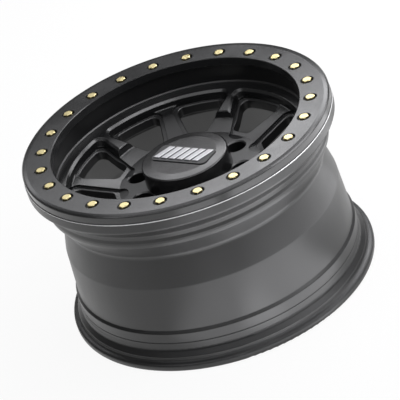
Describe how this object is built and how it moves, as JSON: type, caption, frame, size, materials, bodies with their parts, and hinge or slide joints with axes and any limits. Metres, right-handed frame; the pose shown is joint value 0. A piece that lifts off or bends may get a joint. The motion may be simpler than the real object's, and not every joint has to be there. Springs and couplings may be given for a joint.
{
  "type": "car wheel",
  "caption": "Bare satin-black off-road alloy wheel with a bolted lip ring, a deep dished face with stepped spokes and ribs, and a capped hub.",
  "frame": {"origin": "on the wheel's axis, at the back of the inboard flange that it lies on", "axes": "+Z along the wheel's axis, from the inboard flange to the face; +Y through one rib of the face"},
  "size_m": [0.4742, 0.4742, 0.274],
  "materials": {
    "body_black": "satin black powder coat on cast aluminium",
    "ring_black": "satin black powder coat on aluminium",
    "bolt_gold": "gold zinc plating",
    "cap_black": "satin",
    "spring_steel": "drawn wire",
    "badge_silver": "satin"
  },
  "bodies": {
    "root": {"wheel_body": "body_black", "lip_ring": "ring_black", "ring_bolts": "bolt_gold", "center_cap": "cap_black", "cap_retainer": "spring_steel", "cap_badge": "badge_silver"}
  },
  "joints": []
}
